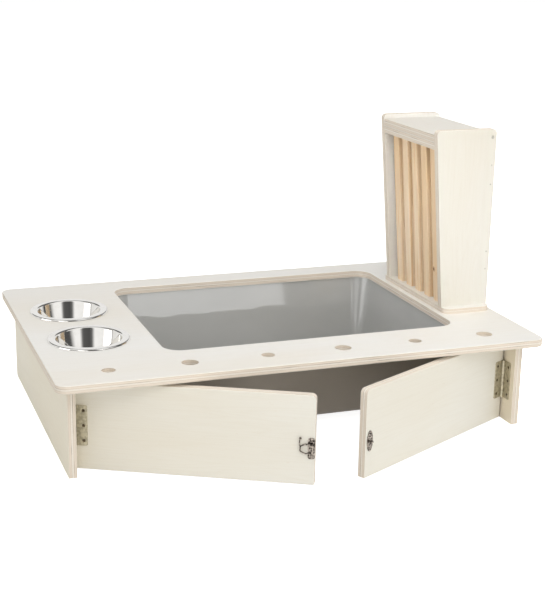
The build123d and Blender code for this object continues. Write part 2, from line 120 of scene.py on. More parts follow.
def boardAxes(obj):
    points, corners = meshArrays(obj)
    a, b, c = (points[corners[:, i]] for i in range(3))
    cross = np.cross(b - a, c - a)
    area = np.linalg.norm(cross, axis=1)
    unit = cross / np.maximum(area, 1e-12)[:, None]
    keys = [tuple(key) for key in np.round(unit, 2)]
    total = {}
    for key, size in zip(keys, area):
        total[key] = total.get(key, 0) + size
    # the two faces that face each other with the most area are the sheet's own
    widest = max(total, key=lambda k: total[k] + total.get(tuple(-np.array(k)), 0))
    thick = Vector(unit[[key == widest for key in keys]].mean(0)).normalized()
    lying = abs(thick.z) >= 0.9
    side = Vector((1, 0, 0) if lying else (0, 0, 1)).cross(thick).normalized()
    up = thick.cross(side).normalized()
    middle, size = Vector(), []
    for axis in (side, up, thick):
        along = points @ np.array(axis)
        middle += axis * ((along.min() + along.max()) / 2)
        size.append(along.max() - along.min())
    grain, across = (side, up) if size[0] >= size[1] else (up, side)
    if grain.cross(across).dot(thick) < 0:
        across = -across
    return {"middle": middle, "grain": grain, "across": across, "thick": thick, "thickness": size[2]}


def boardCoordinates(tree, axes):
    # Object coordinates turned so that x runs with the grain, y across it and z through the sheet
    place = addNode(tree, "ShaderNodeTexCoord").outputs["Object"]
    turn = Matrix((axes["grain"], axes["across"], axes["thick"]))
    shift = -(turn @ axes["middle"])
    return addNode(tree, "ShaderNodeMapping", {"Vector": place, "Location": shift,
                                               "Rotation": turn.to_euler()})


def stretchedNoise(tree, vector, lengths, detail=2.0, roughness=0.5, seed=0.0, distortion=0.0):
    # lengths are the pattern's sizes in mm with the grain, across it and through the sheet
    scaled = addNode(tree, "ShaderNodeVectorMath", {0: vector, 1: [1 / mm / length for length in lengths]},
                     operation="MULTIPLY")
    moved = addNode(tree, "ShaderNodeVectorMath", {0: scaled, 1: (seed, seed * 0.37, seed * 0.73)},
                    operation="ADD")
    return addNode(tree, "ShaderNodeTexNoise", {"Vector": moved, "Scale": 1.0, "Detail": detail,
                                                "Roughness": roughness, "Distortion": distortion})


# Birch plywood, rotary-cut and sanded: near-white satin faces with soft flame figure, and cut
# edges that show tan end-grain plies between paler ones, with thin glue lines, dark in places

birchPlywood = {
    "face": "#F4F2ED", "faceWarm": "#F1ECE2", "figure": "#E3DAC9", "fleck": "#D9C4A4",
    "palePly": "#F5EDE1", "endPly": "#EDE1D1", "endPlyDark": "#DFD0BC",
    "glue": "#CFBFAA", "glueDark": "#77634E",
    "faceVeneer": 1.3, "glueLine": 0.4,  # mm
    # patterns, in mm; veneer fibres are finer, 0.2 mm, and drawn this coarse so that they show
    "fibreSize": (60, 1.6, 1.6), "figureSize": (330, 26, 26), "toneSize": (420, 150, 90),
    "fleckSize": (9, 1.2, 1.2), "waverSize": (70, 70, 400), "poreSize": (1.4, 1.4, 1.4),
    "darkSize": (55, 55, 3.1),
    # how strongly each pattern shows where it has a given value
    "toneStops": [(0.35, 0.0), (0.68, 1.0)],
    "figureStops": [(0.0, 0.11), (0.16, 0.05), (0.5, 0.0)],
    "fibreStops": [(0.42, 0.0), (0.7, 0.1)],
    "fleckStops": [(0.7, 0.0), (0.8, 0.2)],
    "poreStops": [(0.4, 0.0), (0.75, 0.45)],
    "darkStops": [(0.58, 0.0), (0.66, 0.85)],
    "edgeStops": [(0.45, 1.0), (0.85, 0.0)],  # by how squarely the surface faces through the sheet
    "flames": 11.0, "flameWidth": 0.5, "waver": 0.5,  # lines in the figure, their spacing, and mm
    "roughness": 0.46, "edgeRoughness": 0.72, "specular": 0.4, "relief": 0.16, "reliefDepth": 0.15,
}


def glueLines(thickness):
    # where the glue lines lie and half their width, as shares of the sheet's thickness
    full, veneer = thickness / mm, birchPlywood["faceVeneer"]
    core = (full - 2 * veneer) / 3
    places = [place / full for place in (veneer, veneer + core, veneer + 2 * core, full - veneer)]
    return places, birchPlywood["glueLine"] * mm / thickness


def plyStops(thickness):
    # the sheet's five plies from one face to the other
    places, half = glueLines(thickness)
    colours = [birchPlywood[ply] for ply in ("palePly", "endPly", "palePly", "endPly", "palePly")]
    stops = [(0.0, colours[0])]
    for place, before, after in zip(places, colours, colours[1:]):
        stops += [(place - half, before), (place, birchPlywood["glue"]), (place + half, after)]
    return stops + [(1.0, colours[-1])]


def glueStops(thickness):
    # 1 on each glue line and 0 between them
    places, half = glueLines(thickness)
    return [stop for place in places for stop in ((place - half, 0.0), (place, 1.0), (place + half, 0.0))]


def plywoodMaterial(name, axes, seed, tint):
    sheet = birchPlywood
    material, tree = newMaterial(name)
    vector = boardCoordinates(tree, axes)
    # each pattern has a seed of its own, so that none repeats another
    fibre = stretchedNoise(tree, vector, sheet["fibreSize"], detail=4.0, roughness=0.6, seed=seed)
    figure = stretchedNoise(tree, vector, sheet["figureSize"], roughness=0.45, seed=seed + 3.1,
                            distortion=0.35)
    tone = stretchedNoise(tree, vector, sheet["toneSize"], seed=seed + 7.7)
    fleck = stretchedNoise(tree, vector, sheet["fleckSize"], detail=1.0, seed=seed + 11.3)
    waver = stretchedNoise(tree, vector, sheet["waverSize"], seed=seed + 17.0)
    pores = stretchedNoise(tree, vector, sheet["poreSize"], detail=3.0, roughness=0.65, seed=seed + 23.0)
    dark = stretchedNoise(tree, vector, sheet["darkSize"], detail=1.0, seed=seed + 29.0)

    # the face: a tone that drifts, flame lines, fibres and short flecks
    face = addNode(tree, "ShaderNodeValToRGB", {"Fac": tone}, sheet["toneStops"])
    face = addNode(tree, "ShaderNodeMix", {0: face, 6: sheet["face"], 7: sheet["faceWarm"]}, data_type="RGBA")
    flames = addNode(tree, "ShaderNodeMath", {0: figure, 1: sheet["flames"]}, operation="MULTIPLY")
    flames = addNode(tree, "ShaderNodeMath", {0: flames, 1: sheet["flameWidth"]}, operation="PINGPONG")
    for pattern, stops, colour in ((flames, "figureStops", "figure"), (fibre, "fibreStops", "figure"),
                                   (fleck, "fleckStops", "fleck")):
        share = addNode(tree, "ShaderNodeValToRGB", {"Fac": pattern}, sheet[stops])
        face = addNode(tree, "ShaderNodeMix", {0: share, 6: face, 7: sheet[colour]}, data_type="RGBA")
    # the board's tint, which on some boards is painted shade
    face = addNode(tree, "ShaderNodeMix", {0: 1.0, 6: face, 7: tint}, data_type="RGBA", blend_type="MULTIPLY")

    # the cut edge: the place through the thickness picks the ply, and open stretches of glue hold a shadow
    through = addNode(tree, "ShaderNodeSeparateXYZ", {0: vector}).outputs["Z"]
    waved = addNode(tree, "ShaderNodeMath", {0: waver, 1: sheet["waver"] * mm, 2: -sheet["waver"] / 2 * mm},
                    operation="MULTIPLY_ADD")
    depth = addNode(tree, "ShaderNodeMath", {0: through, 1: waved}, operation="ADD")
    depth = addNode(tree, "ShaderNodeMath", {0: depth, 1: 1 / axes["thickness"], 2: 0.5},
                    operation="MULTIPLY_ADD", use_clamp=True)
    plies = addNode(tree, "ShaderNodeValToRGB", {"Fac": depth}, plyStops(axes["thickness"]))
    porous = addNode(tree, "ShaderNodeValToRGB", {"Fac": pores}, sheet["poreStops"])
    edge = addNode(tree, "ShaderNodeMix", {0: porous, 6: plies, 7: sheet["endPlyDark"]}, data_type="RGBA")
    onGlue = addNode(tree, "ShaderNodeValToRGB", {"Fac": depth}, glueStops(axes["thickness"]))
    opened = addNode(tree, "ShaderNodeValToRGB", {"Fac": dark}, sheet["darkStops"])
    gap = addNode(tree, "ShaderNodeMath", {0: onGlue, 1: opened}, operation="MULTIPLY")
    edge = addNode(tree, "ShaderNodeMix", {0: gap, 6: edge, 7: sheet["glueDark"]}, data_type="RGBA")

    normal = addNode(tree, "ShaderNodeTexCoord").outputs["Normal"]
    facing = addNode(tree, "ShaderNodeVectorMath", {0: normal, 1: axes["thick"]}, operation="DOT_PRODUCT")
    square = addNode(tree, "ShaderNodeMath", {0: facing}, operation="ABSOLUTE")
    isEdge = addNode(tree, "ShaderNodeValToRGB", {"Fac": square}, sheet["edgeStops"])
    colour = addNode(tree, "ShaderNodeMix", {0: isEdge, 6: face, 7: edge}, data_type="RGBA")
    relief = addNode(tree, "ShaderNodeMix", {0: isEdge, 6: fibre, 7: pores}, data_type="RGBA")
    rough = addNode(tree, "ShaderNodeMapRange", {"Value": isEdge, "To Min": sheet["roughness"],
                                                 "To Max": sheet["edgeRoughness"]})
    bump = addNode(tree, "ShaderNodeBump", {"Strength": sheet["relief"], "Height": relief,
                                            "Distance": sheet["reliefDepth"] * mm})
    finishMaterial(tree, {"Base Color": colour, "Roughness": rough, "Normal": bump,
                          "Specular IOR Level": sheet["specular"]})
    return material


# Planed pine: straw-coloured bars with orange-brown late-wood lines along them and a dark knot

planedPine = {
    "early": "#FFEDD3", "late": "#EFCA98", "deep": "#D2A060", "knot": "#6E4526", "knotRing": "#B98150",
    "ringSize": (900, 5.5, 5.5), "fibreSize": (55, 0.9, 0.9), "toneSize": (300, 40, 40),  # mm
    "rings": 7.0,  # late-wood lines in the pattern
    "ringStops": [(0.0, 0.0), (0.55, 0.35), (0.86, 1.0), (0.95, 0.1), (1.0, 0.0)],
    "toneStops": [(0.4, 0.0), (0.62, 0.6)],
    "fibreStops": [(0.5, 0.0), (0.8, 0.45)],
    "knotSlat": "rack_slat_1", "knotAt": (289.2, 7.4, 212), "knotRadius": 2.6,  # mm
    "heart": 0.45, "ringReach": 2.2, "partFrom": 5,  # knot radii, partFrom being where lines begin to part
    "partBy": 0.5, "ringShare": 0.7,  # how far the lines part, and how strong the knot's ring is
    "roughness": 0.58, "specular": 0.35, "relief": 0.2, "reliefDepth": 0.15,
}


def pineMaterial(name, axes, seed, knotAt=None):
    bar = planedPine
    material, tree = newMaterial(name)
    vector = boardCoordinates(tree, axes)
    broad = stretchedNoise(tree, vector, bar["ringSize"], detail=1.5, roughness=0.4, seed=seed,
                           distortion=0.2)
    fibre = stretchedNoise(tree, vector, bar["fibreSize"], detail=4.0, roughness=0.6, seed=seed + 5.0)
    tone = stretchedNoise(tree, vector, bar["toneSize"], seed=seed + 9.0)
    radius = bar["knotRadius"] * mm
    if knotAt:
        # late-wood lines part round the knot
        place = addNode(tree, "ShaderNodeTexCoord").outputs["Object"]
        away = addNode(tree, "ShaderNodeVectorMath", {0: place, 1: knotAt}, operation="DISTANCE")
        near = addNode(tree, "ShaderNodeMapRange", {"Value": away, "From Max": bar["partFrom"] * radius,
                                                    "To Min": 1.0, "To Max": 0.0},
                       interpolation_type="SMOOTHSTEP")
        broad = addNode(tree, "ShaderNodeMath", {0: near, 1: bar["partBy"], 2: broad},
                        operation="MULTIPLY_ADD")
    rings = addNode(tree, "ShaderNodeMath", {0: broad, 1: bar["rings"]}, operation="MULTIPLY")
    rings = addNode(tree, "ShaderNodeMath", {0: rings}, operation="FRACT")
    colour = bar["early"]
    for pattern, stops, mixed in ((rings, "ringStops", "late"), (tone, "toneStops", "late"),
                                  (fibre, "fibreStops", "deep")):
        share = addNode(tree, "ShaderNodeValToRGB", {"Fac": pattern}, bar[stops])
        colour = addNode(tree, "ShaderNodeMix", {0: share, 6: colour, 7: bar[mixed]}, data_type="RGBA")
    if knotAt:
        for start, end, most, mixed in ((1, bar["ringReach"], bar["ringShare"], "knotRing"),
                                        (bar["heart"], 1, 1.0, "knot")):
            share = addNode(tree, "ShaderNodeMapRange", {"Value": away, "From Min": start * radius,
                                                         "From Max": end * radius, "To Min": most,
                                                         "To Max": 0.0})
            colour = addNode(tree, "ShaderNodeMix", {0: share, 6: colour, 7: bar[mixed]}, data_type="RGBA")
    bump = addNode(tree, "ShaderNodeBump", {"Strength": bar["relief"], "Height": fibre,
                                            "Distance": bar["reliefDepth"] * mm})
    finishMaterial(tree, {"Base Color": colour, "Roughness": bar["roughness"], "Normal": bump,
                          "Specular IOR Level": bar["specular"]})
    return material


def leanUp(tree, normal, lean):
    # a normal tipped upwards by a slope, which bends what the surface mirrors
    up = addNode(tree, "ShaderNodeCombineXYZ", {2: lean})
    leaned = addNode(tree, "ShaderNodeVectorMath", {0: normal, 1: up}, operation="ADD")
    return addNode(tree, "ShaderNodeVectorMath", {0: leaned}, operation="NORMALIZE")


# Vacuum-formed ABS sheet: even mid-grey with a clear gloss inside, where the sheet's slow bow bends
# reflections, and outside the duller side that lay against the mould, with painted shade: a darker, browner
# colour for its shade and the warm light bounced onto it from the wood

formedAbs = {
    # the outside's colour is painted shade, darker and browner than the sheet for its shade and bounced light
    "colour": "#B7B7B4", "shade": "#ADADAA", "mouldSide": "#A9A095",
    "roughness": 0.03, "peelRoughness": 0.03, "mouldRoughness": 0.5,
    "waveSize": (115, 115, 60), "peelSize": (5, 5, 5), "waveStops": [(0.35, 0.0), (0.7, 0.6)],
    "bowFrom": 106,  # mm above the ground, where the sheet starts to bow inwards
    "bowRise": 6,  # mm that this rises over the tub's length
    "bowDepth": 26,  # mm of height over which the bow builds up
    "bowWave": 1.9,  # how far waves in the sheet shift it, in bow depths
    "bow": 0.1, "cornerLean": 0.12,  # slopes
    "cornerFrom": 0.02, "cornerFull": 0.12,  # x times y of the normal, which is 0 on a flat wall
    "relief": 0.03, "reliefDepth": 0.2,
}


def absMaterial(name, middle, length):
    sheet = formedAbs
    material, tree = newMaterial(name)
    coordinates = addNode(tree, "ShaderNodeTexCoord").outputs
    place, normal = coordinates["Object"], coordinates["Normal"]
    wave = stretchedNoise(tree, place, sheet["waveSize"], seed=2.0)
    peel = stretchedNoise(tree, place, sheet["peelSize"], seed=5.0)
    shaded = addNode(tree, "ShaderNodeValToRGB", {"Fac": wave}, sheet["waveStops"])
    colour = addNode(tree, "ShaderNodeMix", {0: shaded, 6: sheet["colour"], 7: sheet["shade"]},
                     data_type="RGBA")

    # the sheet bows inwards under the rim
    away = addNode(tree, "ShaderNodeVectorMath", {0: place, 1: middle}, operation="SUBTRACT")
    parts = addNode(tree, "ShaderNodeSeparateXYZ", {0: away}).outputs
    rise = -sheet["bowRise"] * mm / length
    along = addNode(tree, "ShaderNodeMath", {0: parts["X"], 1: rise, 2: parts["Z"]}, operation="MULTIPLY_ADD")
    waved = addNode(tree, "ShaderNodeMath", {0: wave, 1: sheet["bowWave"] * sheet["bowDepth"] * mm, 2: along},
                    operation="MULTIPLY_ADD")
    start = sheet["bowFrom"] * mm - middle.z
    bow = addNode(tree, "ShaderNodeMapRange", {"Value": waved, "From Min": start,
                                               "From Max": start + sheet["bowDepth"] * mm,
                                               "To Max": sheet["bow"]}, interpolation_type="SMOOTHSTEP")

    # and it leans back in its corners, where it was stretched most
    facing = addNode(tree, "ShaderNodeSeparateXYZ", {0: normal}).outputs
    corner = addNode(tree, "ShaderNodeMath", {0: facing["X"], 1: facing["Y"]}, operation="MULTIPLY")
    corner = addNode(tree, "ShaderNodeMath", {0: corner}, operation="ABSOLUTE")
    corner = addNode(tree, "ShaderNodeMapRange", {"Value": corner, "From Min": sheet["cornerFrom"],
                                                  "From Max": sheet["cornerFull"],
                                                  "To Max": sheet["cornerLean"]})
    lean = addNode(tree, "ShaderNodeMath", {0: bow, 1: corner}, operation="MAXIMUM")

    # the outside faces away from the tub's middle, and its colour is painted shade: darker and browner for
    # its shade and the warm light bounced from the wood
    outward = addNode(tree, "ShaderNodeVectorMath", {0: normal, 1: away}, operation="DOT_PRODUCT")
    outside = addNode(tree, "ShaderNodeMath", {0: outward, 1: 0.0}, operation="GREATER_THAN")
    colour = addNode(tree, "ShaderNodeMix", {0: outside, 6: colour, 7: sheet["mouldSide"]}, data_type="RGBA")
    gloss = addNode(tree, "ShaderNodeMapRange", {"Value": peel, "To Min": sheet["roughness"],
                                                 "To Max": sheet["roughness"] + sheet["peelRoughness"]})
    rough = addNode(tree, "ShaderNodeMapRange", {"Value": outside, "To Min": gloss,
                                                 "To Max": sheet["mouldRoughness"]})
    bump = addNode(tree, "ShaderNodeBump", {"Strength": sheet["relief"], "Height": peel,
                                            "Distance": sheet["reliefDepth"] * mm,
                                            "Normal": leanUp(tree, normal, lean)})
    finishMaterial(tree, {"Base Color": colour, "Roughness": rough, "Normal": bump})
    return material


# Deep-drawn stainless steel, mirror polished: bright and dark bands of the room, bent by a wall that
# the press left slightly hollow, with the faint turning lines of the lathe

polishedSteel = {
    "colour": "#F2F0EC", "smear": "#E2DFD8", "roughness": 0.03, "smearRoughness": 0.07,
    "turningSize": (0.9, 0.9, 0.9), "smearSize": (24, 24, 16), "smearStops": [(0.4, 0.0), (0.8, 0.7)],
    "hollow": 0.33, "levelFrom": 0.9,  # the upright wall's lean, and how level a surface has none
    "relief": 0.04, "reliefDepth": 0.05,
}


def steelMaterial(name, middle):
    bowl = polishedSteel
    material, tree = newMaterial(name)
    coordinates = addNode(tree, "ShaderNodeTexCoord").outputs
    place, normal = coordinates["Object"], coordinates["Normal"]
    centred = addNode(tree, "ShaderNodeVectorMath", {0: place, 1: middle}, operation="SUBTRACT")
    parts = addNode(tree, "ShaderNodeSeparateXYZ", {0: centred}).outputs
    level = addNode(tree, "ShaderNodeCombineXYZ", {0: parts["X"], 1: parts["Y"]})
    radius = addNode(tree, "ShaderNodeVectorMath", {0: level}, operation="LENGTH")
    turned = addNode(tree, "ShaderNodeCombineXYZ", {0: radius, 1: parts["Z"]})
    lines = stretchedNoise(tree, turned, bowl["turningSize"], roughness=0.6, seed=1.0)
    smear = stretchedNoise(tree, centred, bowl["smearSize"], detail=3.0, roughness=0.55, seed=4.0)
    smeared = addNode(tree, "ShaderNodeValToRGB", {"Fac": smear}, bowl["smearStops"])
    colour = addNode(tree, "ShaderNodeMix", {0: smeared, 6: bowl["colour"], 7: bowl["smear"]},
                     data_type="RGBA")
    rough = addNode(tree, "ShaderNodeMapRange", {"Value": smear, "To Min": bowl["roughness"],
                                                 "To Max": bowl["roughness"] + bowl["smearRoughness"]})
    upward = addNode(tree, "ShaderNodeSeparateXYZ", {0: normal}).outputs["Z"]
    lean = addNode(tree, "ShaderNodeMapRange", {"Value": upward, "From Max": bowl["levelFrom"],
                                                "To Min": bowl["hollow"], "To Max": 0.0})
    bump = addNode(tree, "ShaderNodeBump", {"Strength": bowl["relief"], "Height": lines,
                                            "Distance": bowl["reliefDepth"] * mm,
                                            "Normal": leanUp(tree, normal, lean)})
    finishMaterial(tree, {"Base Color": colour, "Metallic": 1.0, "Roughness": rough, "Normal": bump})
    return material


# Plated steel fittings: a plating colour dulled by handling, darker where grime sits; on the hinge screws
# the dark zinc is painted shade. Pewter is cast, so its grain is a deep relief

platings = {
    "dullNickel": {"colour": "#CBC4AF", "grime": "#7A7260", "grimeShare": 0.35, "grimeSize": (5, 5, 5),
                   "roughness": 0.56, "grainSize": (0.8, 0.8, 6), "reliefDepth": 0.05},
    "zincPlate": {"colour": "#D6D3C8", "grime": "#A9A499", "grimeShare": 0.4, "grimeSize": (5, 5, 5),
                  "roughness": 0.4, "grainSize": (0.7, 0.7, 0.7), "reliefDepth": 0.05},
    # painted shade: the hinge screws' dark zinc and heavy grime stand in for the shade in their recesses and
    # round their heads
    "darkenedZinc": {"colour": "#857A68", "grime": "#3D352A", "grimeShare": 0.8, "grimeSize": (2, 2, 2),
                     "roughness": 0.35, "grainSize": (0.7, 0.7, 0.7), "reliefDepth": 0.05},
    "agedPewter": {"colour": "#9C938A", "grime": "#17120E", "grimeShare": 1.0, "grimeSize": (2.2, 2.2, 2.2),
                   "roughness": 0.22, "grainSize": (1.9, 1.9, 1.9), "reliefDepth": 0.5},
}
# on all of them: how roughness changes where rubbed and where grimy, where grime starts in its pattern
# and is full, and how strong the relief is
handling = {"rubbed": -0.08, "grimy": 0.2, "grimeFrom": 0.42, "grimeFull": 0.6, "relief": 0.5}


def platedMaterial(name, plating):
    material, tree = newMaterial(name)
    place = addNode(tree, "ShaderNodeTexCoord").outputs["Object"]
    grain = stretchedNoise(tree, place, plating["grainSize"], seed=1.0)
    patch = stretchedNoise(tree, place, plating["grimeSize"], roughness=0.55, seed=8.0)
    grimy = [(handling["grimeFrom"], 0.0), (handling["grimeFull"], plating["grimeShare"])]
    share = addNode(tree, "ShaderNodeValToRGB", {"Fac": patch}, grimy)
    colour = addNode(tree, "ShaderNodeMix", {0: share, 6: plating["colour"], 7: plating["grime"]},
                     data_type="RGBA")
    rough = addNode(tree, "ShaderNodeMapRange", {"Value": patch,
                                                 "To Min": plating["roughness"] + handling["rubbed"],
                                                 "To Max": plating["roughness"] + handling["grimy"]})
    bump = addNode(tree, "ShaderNodeBump", {"Strength": handling["relief"], "Height": grain,
                                            "Distance": plating["reliefDepth"] * mm})
    finishMaterial(tree, {"Base Color": colour, "Metallic": 1.0, "Roughness": rough, "Normal": bump})
    return material


# Tints for some sheets: yellower than the rest, and darker as painted shade, most the left side panel
# under the top's overhang; and the steps between one board's grain and the next

boardTintsAndShade = {
    "left_side_panel": "#F4EFDF", "left_door": "#FCFBF6", "right_door": "#FAFAF6",
    "right_side_panel": "#FFF8EA", "rack_front_side": "#F6F5F0", "rack_lid": "#F9F8F6",
}
grainStep = {"birch_plywood": 3.7, "pine": 2.9}
platingOf = {"nickel_hinge": "dullNickel", "zinc_fastener": "zincPlate", "aged_latch": "agedPewter"}

print("materials for the boards, bars, tub, bowls and fittings")
fittings = {name: platedMaterial(name, plating) for name, plating in platings.items()}
for count, (name, obj) in enumerate(sorted(nodes.items())):
    slot = slotOf[name]
    if slot == "birch_plywood":
        # the tint is painted shade on some boards
        seed, tint = grainStep[slot] * count, boardTintsAndShade.get(name, "#FFFFFF")
        setMaterial(obj, plywoodMaterial("birchPlywood_" + name, boardAxes(obj), seed, tint))
    elif slot == "pine":
        knot = Vector(planedPine["knotAt"]) * mm if name == planedPine["knotSlat"] else None
        setMaterial(obj, pineMaterial("planedPine_" + name, boardAxes(obj), grainStep[slot] * count, knot))
    elif slot == "grey_plastic":
        low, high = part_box(name)
        setMaterial(obj, absMaterial("formedAbs", (low + high) / 2, high.x - low.x))
    elif slot == "steel_bowl":
        low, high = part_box(name)
        setMaterial(obj, steelMaterial("polishedSteel_" + name, (low + high) / 2))
    else:
        setMaterial(obj, fittings[platingOf[slot]])


# Cross-head wood screws: the heads stand flush in their countersinks with the recess turned at random

crossHead = {
    "headShare": 0.86,  # of the countersink's radius, so that its rim shows as a dark ring
    "recessWidth": 0.28, "recessDepth": 0.5, "recessReach": 1.25,  # shares of the head's radius
    "sides": 32, "seed": 5,
}


def screwIslands(obj):
    # the points of each separate screw in a CAD piece, where points within a micron are one
    points, corners = meshArrays(obj)
    micron = 0.001 * mm
    keys, index = np.unique(np.round(points / micron).astype(np.int64), axis=0, return_inverse=True)
    owner = list(range(len(keys)))

    def root(i):
        while owner[i] != i:
            owner[i] = owner[owner[i]]
            i = owner[i]
        return i

    for a, b, c in index.reshape(-1)[corners]:
        owner[root(a)] = root(b)
        owner[root(b)] = root(c)
    groups = {}
    for i, key in enumerate(keys):
        groups.setdefault(root(i), []).append(key * micron)
    return [np.array(group) for group in groups.values()]


def readScrew(points):
    # the middle of a screw's head, the way it faces, and its head radius, shank radius and length
    middle = points.mean(0)
    axis = np.linalg.svd(points - middle)[2][0]
    along = (points - middle) @ axis
    out = np.linalg.norm(points - middle - along[:, None] * axis, axis=1)
    if along[out.argmax()] < 0:
        axis, along = -axis, -along
    head = out.max()
    shank = np.median(out[(out > 0.1 * head) & (out < 0.9 * head)])  # neither the axis nor the head's rim
    return middle + axis * along.max(), axis, head, shank, along.max() - along.min()


def screwTree():
    tree = bpy.data.node_groups.new("crossHeadScrews", "GeometryNodeTree")
    for name, kind in (("Heads", "Geometry"), ("Head Radius", "Float"), ("Shank Radius", "Float"),
                       ("Length", "Float"), ("Recess Width", "Float"), ("Recess Depth", "Float"),
                       ("Recess Reach", "Float"), ("Sides", "Int"), ("Seed", "Int"), ("Finish", "Material")):
        tree.interface.new_socket(name, in_out="INPUT", socket_type="NodeSocket" + kind)
    tree.interface.new_socket("Screws", in_out="OUTPUT", socket_type="NodeSocketGeometry")
    given = addNode(tree, "NodeGroupInput").outputs
    sides, head, shank = given["Sides"], given["Head Radius"], given["Shank Radius"]

    def placed(shape, height, spin=0.0):
        # a shape moved up the screw's axis and turned about it
        place = addNode(tree, "ShaderNodeCombineXYZ", {2: height})
        return addNode(tree, "GeometryNodeTransform", {"Geometry": shape, "Translation": place,
                                                       "Rotation": (0, 0, spin)}).outputs[0]

    # from the top down: a head that flares at 45 degrees, a shank, and a tip twice the shank's radius long
    flare = addNode(tree, "ShaderNodeMath", {0: head, 1: shank}, operation="SUBTRACT")
    tipLength = addNode(tree, "ShaderNodeMath", {0: shank, 1: 2.0}, operation="MULTIPLY")
    headUnder = addNode(tree, "ShaderNodeMath", {0: flare, 1: -1.0}, operation="MULTIPLY")
    flared = addNode(tree, "GeometryNodeMeshCone", {"Vertices": sides, "Radius Top": head,
                                                    "Radius Bottom": shank, "Depth": flare}).outputs["Mesh"]
    # the shank starts inside the head, so that the two join as one solid
    shankLength = addNode(tree, "ShaderNodeMath", {0: given["Length"], 1: tipLength}, operation="SUBTRACT")
    shankDepth = addNode(tree, "ShaderNodeMath", {0: flare, 1: -0.5, 2: shankLength},
                         operation="MULTIPLY_ADD")
    halfLength = addNode(tree, "ShaderNodeMath", {0: shankLength, 1: -0.5}, operation="MULTIPLY")
    shankMiddle = addNode(tree, "ShaderNodeMath", {0: flare, 1: -0.25, 2: halfLength},
                          operation="MULTIPLY_ADD")
    bar = addNode(tree, "GeometryNodeMeshCylinder", {"Vertices": sides, "Radius": shank,
                                                     "Depth": shankDepth}).outputs["Mesh"]
    # and the tip, a little thinner, starts inside the shank
    tipRadius = addNode(tree, "ShaderNodeMath", {0: shank, 1: 0.98}, operation="MULTIPLY")
    tipDepth = addNode(tree, "ShaderNodeMath", {0: shank, 1: 0.1, 2: tipLength}, operation="MULTIPLY_ADD")
    tipEnd = addNode(tree, "ShaderNodeMath", {0: given["Length"], 1: -1.0}, operation="MULTIPLY")
    tip = addNode(tree, "GeometryNodeMeshCone", {"Vertices": sides, "Radius Bottom": 0.0,
                                                 "Radius Top": tipRadius, "Depth": tipDepth}).outputs["Mesh"]
    body = addNode(tree, "GeometryNodeMeshBoolean", operation="UNION", solver="EXACT")
    for part, height in ((flared, headUnder), (bar, shankMiddle), (tip, tipEnd)):
        tree.links.new(placed(part, height), body.inputs["Mesh 2"])

    recessHeight = addNode(tree, "ShaderNodeMath", {0: given["Recess Depth"], 1: 2.0}, operation="MULTIPLY")
    blade = addNode(tree, "ShaderNodeCombineXYZ", {0: given["Recess Reach"], 1: given["Recess Width"],
                                                   2: recessHeight})
    blade = addNode(tree, "GeometryNodeMeshCube", {"Size": blade}).outputs["Mesh"]
    screw = addNode(tree, "GeometryNodeMeshBoolean", {"Mesh 1": body}, operation="DIFFERENCE", solver="EXACT")
    for spin in (0.0, math.pi / 2):
        tree.links.new(placed(blade, 0.0, spin), screw.inputs["Mesh 2"])

    facing = addNode(tree, "GeometryNodeInputNamedAttribute", {"Name": "outward"}, data_type="FLOAT_VECTOR")
    upright = addNode(tree, "FunctionNodeAlignRotationToVector", {"Vector": facing}, axis="Z")
    turn = addNode(tree, "FunctionNodeRandomValue", {2: 0.0, 3: math.pi / 2, "Seed": given["Seed"]},
                   data_type="FLOAT")
    spin = addNode(tree, "FunctionNodeAxisAngleToRotation", {"Axis": (0, 0, 1), "Angle": turn})
    rotation = addNode(tree, "FunctionNodeRotateRotation", {"Rotation": upright, "Rotate By": spin},
                       rotation_space="LOCAL")
    copies = addNode(tree, "GeometryNodeInstanceOnPoints", {"Points": given["Heads"], "Instance": screw,
                                                            "Rotation": rotation})
    real = addNode(tree, "GeometryNodeRealizeInstances", {"Geometry": copies})
    finish = addNode(tree, "GeometryNodeSetMaterial", {"Geometry": real, "Material": given["Finish"]})
    addNode(tree, "NodeGroupOutput", {"Screws": finish})
    return tree


def makeScrews(tree, node, name, finish):
    heads = [readScrew(points) for points in screwIslands(nodes[node])]
    mesh = bpy.data.meshes.new(name + "Heads")
    mesh.from_pydata([head[0] for head in heads], [], [])
    outward = mesh.attributes.new("outward", "FLOAT_VECTOR", "POINT")
    outward.data.foreach_set("vector", np.concatenate([head[1] for head in heads]))
    seat = bpy.data.objects.new(name + "Seat", mesh)
    bpy.context.scene.collection.objects.link(seat)
    radius, shank, length = heads[0][2:]
    radius *= crossHead["headShare"]
    values = {"Head Radius": radius, "Shank Radius": shank, "Length": length,
              "Recess Width": crossHead["recessWidth"] * radius,
              "Recess Depth": crossHead["recessDepth"] * radius,
              "Recess Reach": crossHead["recessReach"] * radius,
              "Sides": crossHead["sides"], "Seed": crossHead["seed"], "Finish": finish}
    modifier = seat.modifiers.new("screws", "NODES")
    modifier.node_group = tree
    for item in tree.interface.items_tree:
        if item.in_out == "INPUT" and item.name in values:
            value = values[item.name]
            modifier[item.identifier] = float(value) if item.socket_type == "NodeSocketFloat" else value
    evaluated = seat.evaluated_get(bpy.context.evaluated_depsgraph_get())
    screws = bpy.data.objects.new(name, bpy.data.meshes.new_from_object(evaluated))
    seat.modifiers.remove(modifier)
    bpy.data.objects.remove(seat)
    bpy.context.scene.collection.objects.link(screws)
    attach(screws, bodyOf[node])
    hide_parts(node)
    return len(heads)


screwGroup = screwTree()
made = 0
for node in sorted(nodes):
    if node.endswith("screws"):
        first, *rest = node.split("_")
        name = first + "".join(word.capitalize() for word in rest)
        # the hinge screws get a dark zinc, painted shade for their recesses
        finish = "darkenedZinc" if "hinge" in node else platingOf[slotOf[node]]
        made += makeScrews(screwGroup, node, name, fittings[finish])
print("cross-head screws:", made)


# Studio: pale floor, soft lamps, and the camera

